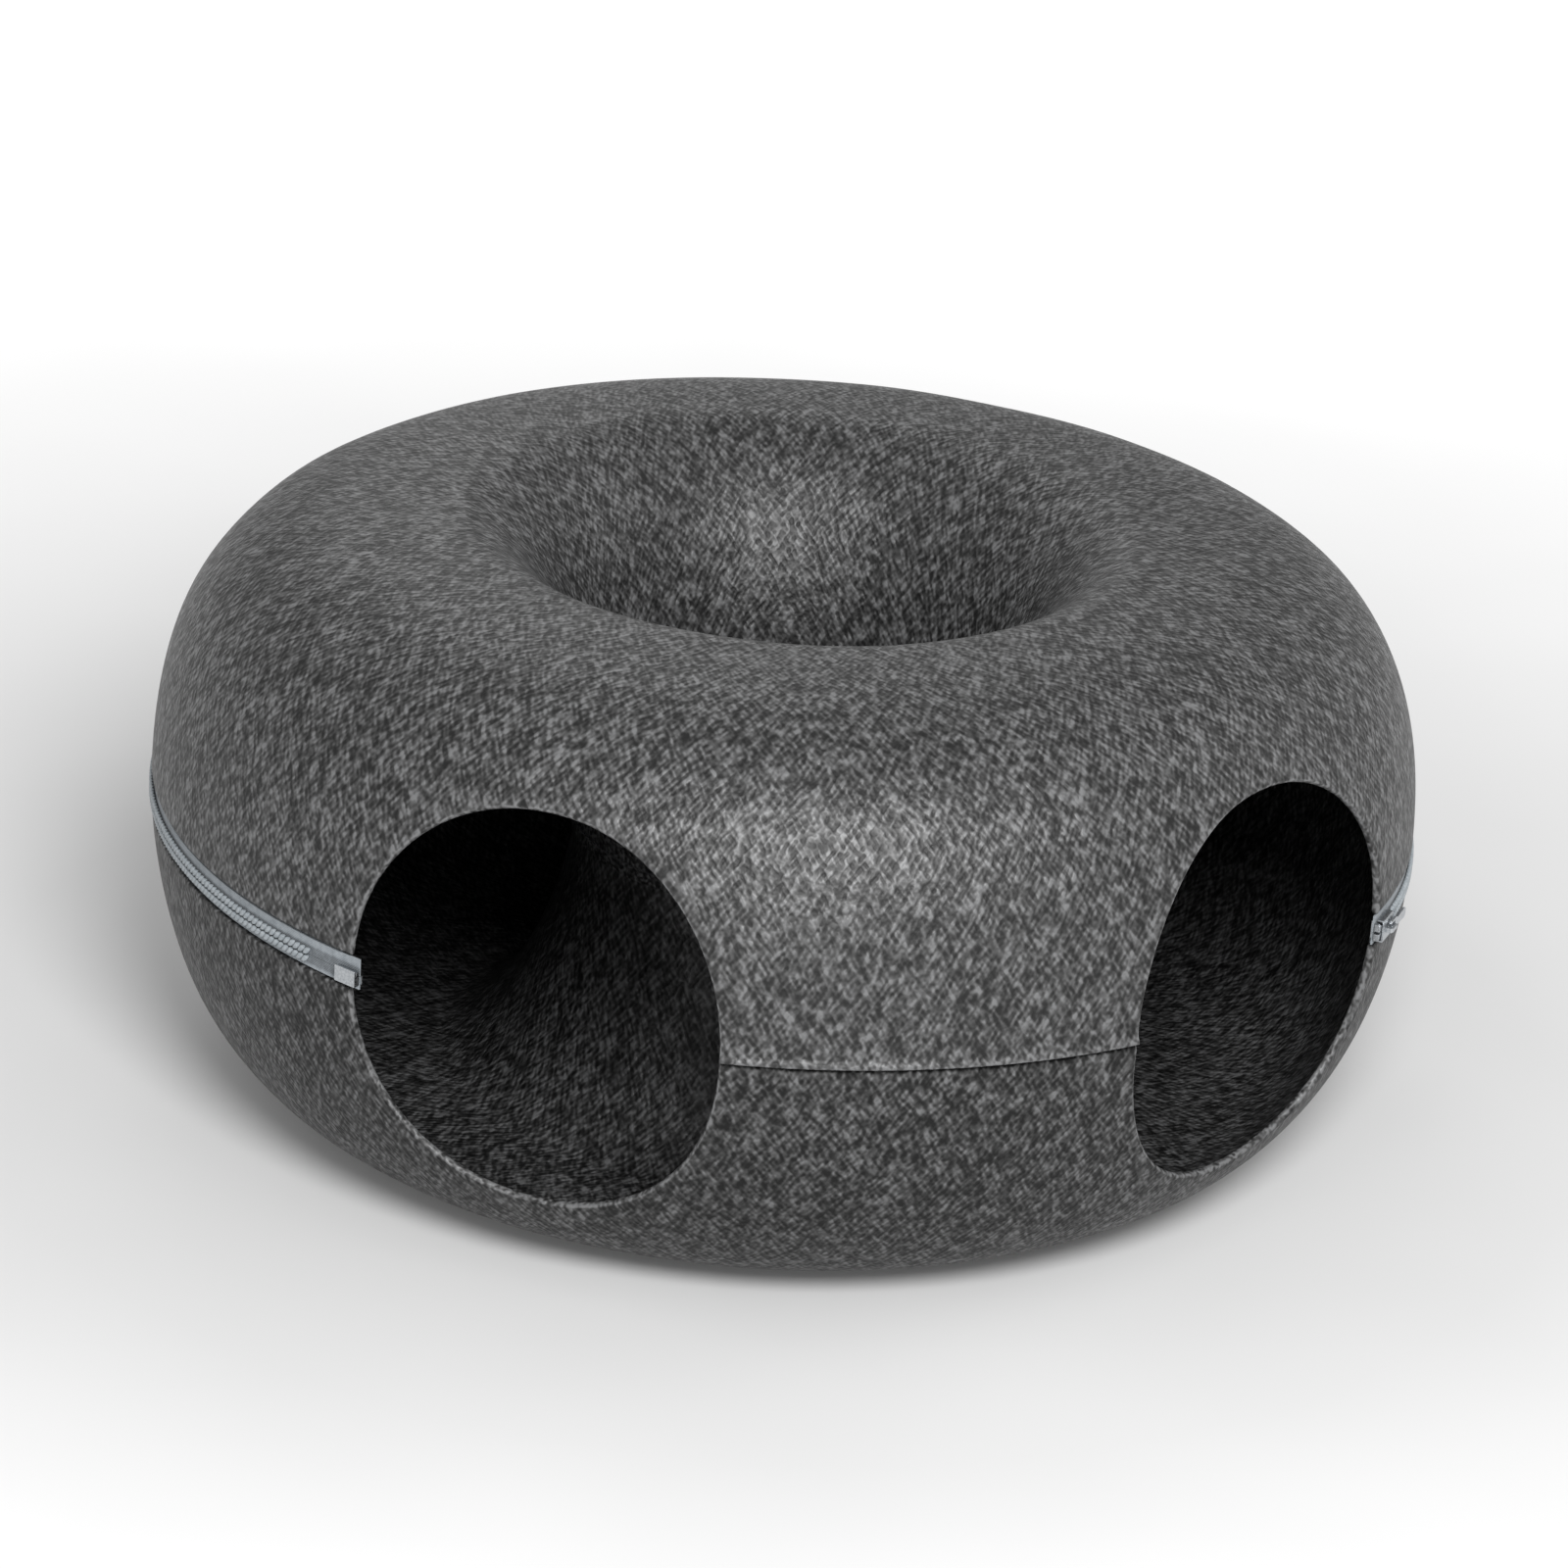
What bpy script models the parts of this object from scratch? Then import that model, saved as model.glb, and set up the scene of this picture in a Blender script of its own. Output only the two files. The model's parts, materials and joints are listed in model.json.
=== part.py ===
"""A felt donut cat tunnel: two felt shells, zipped together round the outside and round the centre hole.

The part stands on the floor with its origin under the middle of the ring. Its two entrances face the
front, -Y. Azimuths turn from the front towards +X. Everything is modelled about the parting plane,
where the shells meet: a rise is a height above that plane, and a depth is how far something stands
proud of the felt's skin, on the side that shows.
"""

import math
from collections import namedtuple

import bmesh
import bpy
from mathutils import Matrix, Vector

# Felt ring
OUTER_RADIUS = 0.305
HOLE_RADIUS = 0.095
CREST_RADIUS = 0.163
HEIGHT = 0.280
PARTING_HEIGHT = 0.1415
FOOT_HALF_WIDTH = 0.018
FELT_THICKNESS = 0.0035

# How square the ring's section is, along the radius and upwards: 2 and 2 would be an ellipse
OUTER_UPPER_ROUNDNESS = (3.25, 2.37)
OUTER_LOWER_ROUNDNESS = (3.90, 1.74)
INNER_UPPER_ROUNDNESS = (1.69, 2.37)
INNER_LOWER_ROUNDNESS = (1.69, 1.74)
OUTER_TURNS_DEGREES = (20, 40, 58, 75)
INNER_TURNS_DEGREES = (30, 50, 70)
SHELL_FACET_DEGREES = 5

# Entrances, one on each side of the front
ENTRANCE_AZIMUTH = math.radians(35)
ENTRANCE_HALF_WIDTH = 0.089
ENTRANCE_HALF_HEIGHT = 0.0946
ENTRANCE_ROUNDNESS = 2.1
ENTRANCE_SIDES = 48

# Clearances
TOUCH_GAP = 0.0003
CHANNEL_CLEARANCE = 0.0006
PARK_GAP = 0.0006
CUT_OVERRUN = 0.002

# Zipper chain and tapes
WEB_THICKNESS = 0.0006
COIL_WIDTH = 0.0035
COIL_THICKNESS = 0.0024
COIL_ROUNDING = 0.0008
COIL_PROUD = 0.0015
TAPE_THICKNESS = 0.0007
TAPE_STEP = 0.0009
SEW_ALLOWANCE = 0.008
THREAD_SIZE = 0.0008
THREAD_SETBACK = 0.004
THREAD_END_INSET = 0.008
OUTER_STRIP_ABOVE = 0.0022
OUTER_STRIP_BELOW = 0.0002
INNER_STRIP = 0.0008
OUTER_START_OVERHANG = 0.001
OUTER_FINISH_OVERHANG = 0.005
INNER_BUTT_HALF_LENGTH = 0.0205
INNER_FACET_DEGREES = 10

# Slider, pull tab and end fittings
SLIDER_LENGTH = 0.014
SLIDER_WALL = 0.0008
SLIDER_STEPS = 4
BACK_PLATE_REACH = 0.0002
SLIDER_WEB_LENGTH = 0.0045
SLIDER_MOUTH_SETBACK = 0.0008
BRIDGE_LENGTH = 0.008
BRIDGE_HALF_WIDTH = 0.001
BRIDGE_THICKNESS = 0.001
BRIDGE_GAP = 0.0024
PULL_THICKNESS = 0.0012
PULL_BAR_WIDTH = 0.0012
EYE_LENGTH = 0.0043
EYE_HALF_HEIGHT = 0.002
PULL_HALF_WIDTH = 0.0032
OUTER_PULL_LENGTH = 0.022
INNER_PULL_LENGTH = 0.013
PULL_SHAPE_SHARES = ((0, 0.7), (0.04, 1), (0.3, 1), (0.45, 0.62), (0.88, 0.82), (0.97, 0.66), (1, 0.4))
STOP_LENGTH = 0.0025
STOP_PROUD = 0.0003
PIN_WIDTH = 0.002
PIN_THICKNESS = 0.002
BOX_LENGTH = 0.012
BOX_WALL = 0.0009
BOX_LIP = 0.0008

# Thread of the front seam
SEAM_THREAD_RADIUS = 0.0004
SEAM_STITCH_HALF_HEIGHT = 0.003
SEAM_STITCH_PITCH = 0.006
SEAM_END_INSET = 0.004

# Where the chain and the tapes lie in the zipper's section
COIL_NEAR = WEB_THICKNESS / 2 + TOUCH_GAP
COIL_FAR = COIL_NEAR + COIL_WIDTH
COIL_BACK = COIL_PROUD - COIL_THICKNESS
TAPE_FRONT = COIL_BACK - TOUCH_GAP
TAPE_BACK = TAPE_FRONT - TAPE_THICKNESS
SLIDER_INNER = COIL_FAR + CHANNEL_CLEARANCE
SLIDER_OUTER = SLIDER_INNER + SLIDER_WALL
SLIDER_UNDER = COIL_PROUD + CHANNEL_CLEARANCE
SLIDER_TOP = SLIDER_UNDER + SLIDER_WALL
BACK_PLATE_TOP = TAPE_BACK - CHANNEL_CLEARANCE
BACK_PLATE_UNDER = BACK_PLATE_TOP - SLIDER_WALL
TAPE_FLAT = SLIDER_OUTER + TOUCH_GAP
BAR_DEPTH = SLIDER_TOP + BRIDGE_GAP / 2

SHARP_ANGLE = math.radians(35)
Finish = namedtuple("Finish", "colour roughness metallic")
FELT = Finish((0.060, 0.062, 0.065), 0.95, 0.0)
TAPE = Finish((0.27, 0.31, 0.34), 0.85, 0.0)
COIL = Finish((0.33, 0.36, 0.39), 0.45, 0.0)
THREAD = Finish((0.045, 0.046, 0.05), 0.85, 0.0)
METAL = Finish((0.68, 0.70, 0.72), 0.3, 1.0)

Lane = namedtuple("Lane", "name wall_radius facing facet start finish strip_above strip_below pull_length")
ENTRANCE_EDGE = ENTRANCE_AZIMUTH + math.asin(ENTRANCE_HALF_WIDTH / OUTER_RADIUS)
OUTER_ZIP = Lane(
    name="outer_zip",
    wall_radius=OUTER_RADIUS,
    facing=1,
    facet=math.radians(SHELL_FACET_DEGREES),
    start=ENTRANCE_EDGE - OUTER_START_OVERHANG / OUTER_RADIUS,
    finish=math.tau - ENTRANCE_EDGE + OUTER_FINISH_OVERHANG / OUTER_RADIUS,
    strip_above=OUTER_STRIP_ABOVE,
    strip_below=OUTER_STRIP_BELOW,
    pull_length=OUTER_PULL_LENGTH,
)
INNER_ZIP = Lane(
    name="inner_zip",
    wall_radius=HOLE_RADIUS,
    facing=-1,
    facet=math.radians(INNER_FACET_DEGREES),
    start=INNER_BUTT_HALF_LENGTH / HOLE_RADIUS,
    finish=math.tau - INNER_BUTT_HALF_LENGTH / HOLE_RADIUS,
    strip_above=INNER_STRIP,
    strip_below=INNER_STRIP,
    pull_length=INNER_PULL_LENGTH,
)


def clear_scene():
    for old in list(bpy.data.objects):
        bpy.data.objects.remove(old)


def dress(item, finish):
    """Gives the object a material of its own."""
    material = bpy.data.materials.new(item.name)
    material.use_nodes = True
    shader = material.node_tree.nodes["Principled BSDF"]
    shader.inputs["Base Color"].default_value = (*finish.colour, 1.0)
    shader.inputs["Roughness"].default_value = finish.roughness
    shader.inputs["Metallic"].default_value = finish.metallic
    item.data.materials.append(material)


def object_from(shape, name, finish=None):
    """Turns a bmesh into an object. One with no finish is a helper, and stays out of sight."""
    bmesh.ops.recalc_face_normals(shape, faces=shape.faces)
    mesh = bpy.data.meshes.new(name)
    shape.to_mesh(mesh)
    shape.free()
    if finish in (FELT, TAPE, COIL, THREAD):
        mesh.shade_smooth()
        mesh.set_sharp_from_angle(angle=SHARP_ANGLE)
    item = bpy.data.objects.new(name, mesh)
    bpy.context.collection.objects.link(item)
    if finish:
        dress(item, finish)
    else:
        item.hide_render = True
        item.display_type = "WIRE"
    return item


def pivot(name, place, azimuth=0.0, parent=None):
    """An empty on the axis that its children turn about."""
    empty = bpy.data.objects.new(name, None)
    empty.location = place
    empty.rotation_euler.z = azimuth
    empty.parent = parent
    bpy.context.collection.objects.link(empty)
    return empty


def combine(item, other, operation):
    modifier = item.modifiers.new(other.name, "BOOLEAN")
    modifier.operation = operation
    modifier.object = other


def evenly(start, stop, steps):
    return [start + (stop - start) * step / steps for step in range(steps + 1)]


def chain_marks(lane):
    """Azimuths along a zipper: its start, the end of the stops, the far end of the closed slider, the near
    end of the open slider, the near end of the end box, and its finish."""
    stops = lane.start + STOP_LENGTH / lane.wall_radius
    box = lane.finish - BOX_LENGTH / lane.wall_radius
    parked = (PARK_GAP + SLIDER_LENGTH) / lane.wall_radius
    return lane.start, stops, stops + parked, box - parked, box, lane.finish


def facet_lines(lane):
    """The azimuths where a zipper's straight facets meet. Its fittings start and end on such lines."""
    marks = chain_marks(lane)
    lines = [marks[0]]
    for start, stop in zip(marks, marks[1:]):
        lines += evenly(start, stop, math.ceil((stop - start) / lane.facet))[1:]
    return lines


def azimuths_between(lane, start, stop):
    """The start, the zipper's facet lines that lie between, and the stop."""
    least_step = PARK_GAP / lane.wall_radius
    lines = [line for line in facet_lines(lane) if start + least_step < line < stop - least_step]
    return [start, *lines, stop]


def ring_azimuths():
    """The facet lines of the felt, once round. Behind, they are the outer zipper's own."""
    behind = facet_lines(OUTER_ZIP)
    first, last = behind[0] + math.tau, behind[-1]
    return behind + evenly(last, first, math.ceil((first - last) / OUTER_ZIP.facet))[1:]


def facet_dip(lane):
    """How far the middle of a facet lies inside the circle that its ends lie on."""
    return lane.wall_radius * (1 - math.cos(lane.facet / 2))


def sewn_depth(lane):
    """How deep the front of a tape lies where it is sewn behind the felt."""
    return -FELT_THICKNESS - facet_dip(lane) - TOUCH_GAP


def turned(name, outline, azimuths, finish=None):
    """Sweeps an outline of (radius, rise) points round the part's axis through these azimuths."""
    shape = bmesh.new()
    corners = [shape.verts.new((0.0, -radius, rise)) for radius, rise in outline]
    sides = [shape.edges.new(pair) for pair in zip(corners, corners[1:] + corners[:1])]
    closed = math.isclose(azimuths[-1] - azimuths[0], math.tau)
    section = corners + sides
    if not closed:
        section.append(shape.faces.new(corners))
    bmesh.ops.rotate(shape, verts=corners, cent=(0, 0, 0), matrix=Matrix.Rotation(azimuths[0], 3, "Z"))
    for before, after in zip(azimuths, azimuths[1:]):
        swept = bmesh.ops.spin(
            shape, geom=section, cent=(0, 0, 0), axis=(0, 0, 1), angle=after - before, steps=1
        )
        section = swept["geom_last"]
    if closed:
        bmesh.ops.remove_doubles(shape, verts=shape.verts, dist=TOUCH_GAP / 10)
    return object_from(shape, name, finish)


def extruded(name, outline, direction, finish=None):
    """Extrudes a flat outline, given as corners in space, along a direction."""
    shape = bmesh.new()
    face = shape.faces.new([shape.verts.new(corner) for corner in outline])
    grown = bmesh.ops.extrude_face_region(shape, geom=[face], use_keep_orig=True)["geom"]
    bmesh.ops.translate(shape, verts=[v for v in grown if isinstance(v, bmesh.types.BMVert)], vec=direction)
    return object_from(shape, name, finish)


def inset(line, depth):
    """The line moved sideways by depth: to the left of the way it runs, or to the right if negative."""
    sides = []
    for before, after in zip(line, line[1:]):
        along = (Vector(after) - Vector(before)).normalized()
        sides.append(Vector((-along.y, along.x)))
    moved = []
    for point, first, second in zip(line, sides[:1] + sides, sides + sides[-1:]):
        moved.append(Vector(point) + (first + second) * (depth / (1 + first.dot(second))))
    return moved


def strip_of(lane, side):
    return lane.strip_above if side > 0 else lane.strip_below


def felt_edge(lane, side):
    """How far from the parting plane the felt stops beside a zipper."""
    return TAPE_FLAT + strip_of(lane, side) + TAPE_STEP + TOUCH_GAP


def band(lane, side):
    """How far from the parting plane the felt's wall runs straight, to carry the sewn tape."""
    return felt_edge(lane, side) + SEW_ALLOWANCE


def in_section(lane, side, points):
    """Turns (depth, distance from the parting plane) points into the ring's (radius, rise)."""
    return [(lane.wall_radius + lane.facing * depth, side * away) for depth, away in points]


def quadrant(wall_radius, reach, roundness, turns):
    """Points of the felt's skin from a wall towards the crest or the foot."""
    across, up = roundness
    points = []
    for turn in map(math.radians, turns):
        radius = CREST_RADIUS + (wall_radius - CREST_RADIUS) * math.cos(turn) ** (2 / across)
        points.append((radius, reach * math.sin(turn) ** (2 / up)))
    return points


def felt_shell(name, side, reach, outer_roundness, inner_roundness, middle):
    """Half of the ring: its skin runs from the outer wall over the middle to the hole's wall."""
    skin = [(OUTER_RADIUS, side * TOUCH_GAP / 2), (OUTER_RADIUS, side * band(OUTER_ZIP, side))]
    skin += quadrant(OUTER_RADIUS, reach, outer_roundness, OUTER_TURNS_DEGREES)
    skin += middle
    skin += reversed(quadrant(HOLE_RADIUS, reach, inner_roundness, INNER_TURNS_DEGREES))
    skin += [(HOLE_RADIUS, side * band(INNER_ZIP, side)), (HOLE_RADIUS, side * TOUCH_GAP / 2)]
    lining = inset(skin, side * FELT_THICKNESS)
    return turned(name, skin + lining[::-1], ring_azimuths(), FELT)


def entrance_cutter(name, azimuth):
    """A superellipse that runs out through the outer wall."""
    inside = -(CREST_RADIUS + OUTER_RADIUS) / 2
    power = 2 / ENTRANCE_ROUNDNESS
    outline = []
    for turn in evenly(0, math.tau, ENTRANCE_SIDES)[:-1]:
        across, up = math.cos(turn), math.sin(turn)
        wide = math.copysign(abs(across) ** power, across) * ENTRANCE_HALF_WIDTH
        high = math.copysign(abs(up) ** power, up) * ENTRANCE_HALF_HEIGHT
        outline.append((wide, inside, high))
    cutter = extruded(name, outline, (0, -OUTER_RADIUS - CUT_OVERRUN - inside, 0))
    cutter.rotation_euler.z = azimuth
    return cutter


def zip_gap_cutter(lane):
    """The gap that a zipper fills between the two felt edges."""
    through = (-FELT_THICKNESS - CUT_OVERRUN, CUT_OVERRUN)
    above, below = felt_edge(lane, 1), -felt_edge(lane, -1)
    corners = ((through[0], below), (through[0], above), (through[1], above), (through[1], below))
    lead = 2 * TOUCH_GAP / lane.wall_radius
    azimuths = azimuths_between(lane, lane.start - lead, lane.finish + lead)
    return turned(lane.name + "_gap", in_section(lane, 1, corners), azimuths)


def shells():
    top, floor = HEIGHT - PARTING_HEIGHT, -PARTING_HEIGHT
    crest = [(CREST_RADIUS, top)]
    foot = [(CREST_RADIUS + FOOT_HALF_WIDTH, floor), (CREST_RADIUS - FOOT_HALF_WIDTH, floor)]
    upper = felt_shell("upper_shell", 1, top, OUTER_UPPER_ROUNDNESS, INNER_UPPER_ROUNDNESS, crest)
    lower = felt_shell("lower_shell", -1, floor, OUTER_LOWER_ROUNDNESS, INNER_LOWER_ROUNDNESS, foot)
    cutters = [
        entrance_cutter("left_entrance", -ENTRANCE_AZIMUTH),
        entrance_cutter("right_entrance", ENTRANCE_AZIMUTH),
        zip_gap_cutter(OUTER_ZIP),
        zip_gap_cutter(INNER_ZIP),
    ]
    for cutter in cutters:
        combine(upper, cutter, "DIFFERENCE")
        combine(lower, cutter, "DIFFERENCE")
    return upper, lower, cutters


def seam_thread():
    """The zigzag that joins the shells' edges between the entrances, on the tunnel's side."""
    radius = OUTER_RADIUS + sewn_depth(OUTER_ZIP) - SEAM_THREAD_RADIUS
    reach = ENTRANCE_AZIMUTH - math.asin(ENTRANCE_HALF_WIDTH / OUTER_RADIUS) - SEAM_END_INSET / OUTER_RADIUS
    stitches = 2 * round(reach * radius / SEAM_STITCH_PITCH)
    curve = bpy.data.curves.new("hinge_seam_thread", "CURVE")
    curve.dimensions = "3D"
    curve.bevel_depth = SEAM_THREAD_RADIUS
    curve.bevel_resolution = 0
    curve.use_fill_caps = True
    spline = curve.splines.new("POLY")
    spline.points.add(stitches)
    for place, azimuth in enumerate(evenly(-reach, reach, stitches)):
        rise = SEAM_STITCH_HALF_HEIGHT * (-1) ** place
        spline.points[place].co = (radius * math.sin(azimuth), -radius * math.cos(azimuth), rise, 1)
    thread = bpy.data.objects.new("hinge_seam_thread", curve)
    bpy.context.collection.objects.link(thread)
    dress(thread, THREAD)
    return thread


def tape(lane, side, word):
    """A flat strip beside the chain, stepped back behind the felt where it is sewn."""
    bend = TAPE_FLAT + strip_of(lane, side)
    front = [
        (TAPE_FRONT, COIL_NEAR),
        (TAPE_FRONT, bend),
        (sewn_depth(lane), bend + TAPE_STEP),
        (sewn_depth(lane), band(lane, side)),
    ]
    back = inset(front, TAPE_THICKNESS)
    outline = in_section(lane, side, front + back[::-1])
    return turned(f"{lane.name}_tape_{word}", outline, facet_lines(lane), TAPE)


def coil(lane, side, word):
    """One row of teeth. The upper one leaves the slider's parking places free, so that the lid lifts off."""
    _, stops, beyond, short, box, _ = chain_marks(lane)
    gap = PARK_GAP / lane.wall_radius
    start, stop = (beyond, short) if side > 0 else (stops, box)
    crown = COIL_PROUD - COIL_ROUNDING
    outline = (
        (COIL_BACK, COIL_NEAR),
        (COIL_BACK, COIL_FAR),
        (crown, COIL_FAR),
        (COIL_PROUD, COIL_FAR - COIL_ROUNDING),
        (COIL_PROUD, COIL_NEAR + COIL_ROUNDING),
        (crown, COIL_NEAR),
    )
    azimuths = azimuths_between(lane, start + gap, stop - gap)
    return turned(f"{lane.name}_coil_{word}", in_section(lane, side, outline), azimuths, COIL)


def sewing_thread(lane, side, word):
    """The line of stitches that holds the tape to the felt, as one bead on the tunnel's side."""
    near = felt_edge(lane, side) + THREAD_SETBACK
    front = sewn_depth(lane) - TAPE_THICKNESS - TOUCH_GAP
    outline = (
        (front, near),
        (front, near + THREAD_SIZE),
        (front - THREAD_SIZE, near + THREAD_SIZE),
        (front - THREAD_SIZE, near),
    )
    inset_turn = THREAD_END_INSET / lane.wall_radius
    azimuths = azimuths_between(lane, lane.start + inset_turn, lane.finish - inset_turn)
    return turned(f"{lane.name}_thread_{word}", in_section(lane, side, outline), azimuths, THREAD)


def end_stop(lane, side, word):
    """A metal clip on the tape's edge, just past the closed slider."""
    proud = COIL_PROUD + STOP_PROUD
    outline = (
        (COIL_BACK, COIL_NEAR),
        (COIL_BACK, COIL_FAR),
        (proud - COIL_ROUNDING, COIL_FAR),
        (proud, COIL_FAR - COIL_ROUNDING),
        (proud, COIL_NEAR),
    )
    return turned(f"{lane.name}_stop_{word}", in_section(lane, side, outline), chain_marks(lane)[:2], METAL)


def end_pin(lane):
    """The loose bar on the upper tape's end, which stands in the end box."""
    outline = (
        (COIL_BACK, COIL_NEAR),
        (COIL_BACK, COIL_NEAR + PIN_WIDTH),
        (COIL_BACK + PIN_THICKNESS, COIL_NEAR + PIN_WIDTH),
        (COIL_BACK + PIN_THICKNESS, COIL_NEAR),
    )
    return turned(lane.name + "_pin", in_section(lane, 1, outline), chain_marks(lane)[-2:], METAL)


def end_box(lane):
    """The fixed end fitting on the lower tape, clamped round its edge, with an open seat for the pin."""
    seat = COIL_NEAR - TOUCH_GAP
    under_lip = COIL_BACK + PIN_THICKNESS + TOUCH_GAP
    top = under_lip + BOX_WALL
    lip = COIL_NEAR + PIN_WIDTH + BOX_LIP
    foot = -COIL_FAR - BACK_PLATE_REACH
    outline = (
        (top, lip),
        (under_lip, lip),
        (under_lip, seat),
        (BACK_PLATE_UNDER, seat),
        (BACK_PLATE_UNDER, foot),
        (BACK_PLATE_TOP, foot),
        (BACK_PLATE_TOP, -seat),
        (COIL_BACK, -seat),
        (COIL_BACK, foot),
        (top, foot),
    )
    return turned(lane.name + "_box", in_section(lane, 1, outline), chain_marks(lane)[-2:], METAL)


def slider_body(lane):
    """Two plates round the chain, joined by a web between its rows, with a bridge for the pull tab."""
    half_turn = SLIDER_LENGTH / 2 / lane.wall_radius
    azimuths = evenly(-half_turn, half_turn, SLIDER_STEPS)
    corner = SLIDER_WALL / 2
    tip = TAPE_FRONT + CHANNEL_CLEARANCE
    rim = [
        (tip, SLIDER_INNER),
        (tip, SLIDER_OUTER),
        (SLIDER_TOP - corner, SLIDER_OUTER),
        (SLIDER_TOP, SLIDER_OUTER - corner),
    ]
    channel = rim + [(depth, -rise) for depth, rise in rim[::-1]]
    channel += [(SLIDER_UNDER, -SLIDER_INNER), (SLIDER_UNDER, SLIDER_INNER)]
    body = turned(lane.name + "_slider", in_section(lane, 1, channel), azimuths, METAL)
    back_half = COIL_FAR + BACK_PLATE_REACH
    plate = (
        (BACK_PLATE_UNDER, -back_half),
        (BACK_PLATE_TOP, -back_half),
        (BACK_PLATE_TOP, back_half),
        (BACK_PLATE_UNDER, back_half),
    )
    sunk = (BACK_PLATE_TOP - SLIDER_WALL / 2, SLIDER_UNDER + SLIDER_WALL / 2)
    web = [(depth, rise * WEB_THICKNESS / 2) for depth, rise in zip(sunk + sunk[::-1], (1, 1, -1, -1))]
    mouth = -half_turn + SLIDER_MOUTH_SETBACK / lane.wall_radius
    web_azimuths = [mouth, mouth + SLIDER_WEB_LENGTH / lane.wall_radius]
    joined = [
        turned(lane.name + "_slider_back", in_section(lane, 1, plate), azimuths),
        turned(lane.name + "_slider_web", in_section(lane, 1, web), web_azimuths),
        slider_bridge(lane),
    ]
    for helper in joined:
        combine(body, helper, "UNION")
    return body, joined


def slider_bridge(lane):
    """The arch that the pull tab hangs on."""
    half = BRIDGE_LENGTH / 2
    base = SLIDER_TOP - SLIDER_WALL / 2
    under = SLIDER_TOP + BRIDGE_GAP
    top = under + BRIDGE_THICKNESS
    leg = half - BRIDGE_THICKNESS
    arch = (
        (-half, base),
        (-half, under),
        (-leg, top),
        (leg, top),
        (half, under),
        (half, base),
        (leg, base),
        (leg, under),
        (-leg, under),
        (-leg, base),
    )
    outline = [(x, -lane.wall_radius - lane.facing * depth, -BRIDGE_HALF_WIDTH) for x, depth in arch]
    return extruded(lane.name + "_slider_bridge", outline, (0, 0, 2 * BRIDGE_HALF_WIDTH))


def pull_tab(lane):
    """A flat tab lying back along the chain, with an eye round the slider's bridge."""
    heel = -PULL_BAR_WIDTH / 2
    rim = [
        (heel + (lane.pull_length - heel) * along, PULL_HALF_WIDTH * half)
        for along, half in PULL_SHAPE_SHARES
    ]
    outline = [(x, -PULL_THICKNESS / 2, z) for x, z in rim + [(x, -z) for x, z in rim[::-1]]]
    tab = extruded(lane.name + "_pull", outline, (0, PULL_THICKNESS, 0), METAL)
    near, far = -heel, -heel + EYE_LENGTH
    eye_corners = (
        (near, -EYE_HALF_HEIGHT),
        (near, EYE_HALF_HEIGHT),
        (far, EYE_HALF_HEIGHT),
        (far, -EYE_HALF_HEIGHT),
    )
    eye_outline = [(x, -PULL_THICKNESS, z) for x, z in eye_corners]
    eye = extruded(lane.name + "_pull_eye", eye_outline, (0, 2 * PULL_THICKNESS, 0))
    combine(tab, eye, "DIFFERENCE")
    return tab, eye


def hang(items, parent, place=(0, 0, 0)):
    for item in items:
        item.parent = parent
        item.location = place


def zipper(lane, base, lid, lid_place):
    for side, word in ((1, "upper"), (-1, "lower")):
        pieces = [make(lane, side, word) for make in (tape, coil, sewing_thread, end_stop)]
        if side > 0:
            hang(pieces + [end_pin(lane)], lid, lid_place)
        else:
            hang(pieces + [end_box(lane)], base)
    closed = chain_marks(lane)[2] - SLIDER_LENGTH / 2 / lane.wall_radius
    slide = pivot(lane.name + "_slide", (0, 0, 0), closed, base)
    body, body_helpers = slider_body(lane)
    hang([body, *body_helpers], slide)
    bar = pivot(lane.name + "_bar", (0, -lane.wall_radius - lane.facing * BAR_DEPTH, 0), 0, slide)
    hang(pull_tab(lane), bar)


def main():
    clear_scene()
    base = pivot("parting_plane", (0, 0, PARTING_HEIGHT))
    lid = pivot("lid_hinge", (0, -OUTER_RADIUS, 0), 0, base)
    lid_place = (0, OUTER_RADIUS, 0)
    upper, lower, cutters = shells()
    hang([upper], lid, lid_place)
    hang([lower, seam_thread(), *cutters], base)
    zipper(OUTER_ZIP, base, lid, lid_place)
    zipper(INNER_ZIP, base, lid, lid_place)


main()
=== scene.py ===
"""Dresses the felt donut cat tunnel: smooth felt, toothed zippers, stitches, camera and light.

Azimuths turn from the front, -Y, towards +X. A rise is a height above the parting plane, where the two
felt halves meet. A run is a length along the felt's skin, from the parting plane on the outer wall over
the crest, or under the foot, to the parting plane on the hole's wall. A depth is how far something
stands proud of the skin, on the side that shows.
"""

import json
import math
from collections import namedtuple

import bpy
import numpy as np
from mathutils import Matrix, Vector, noise


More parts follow.
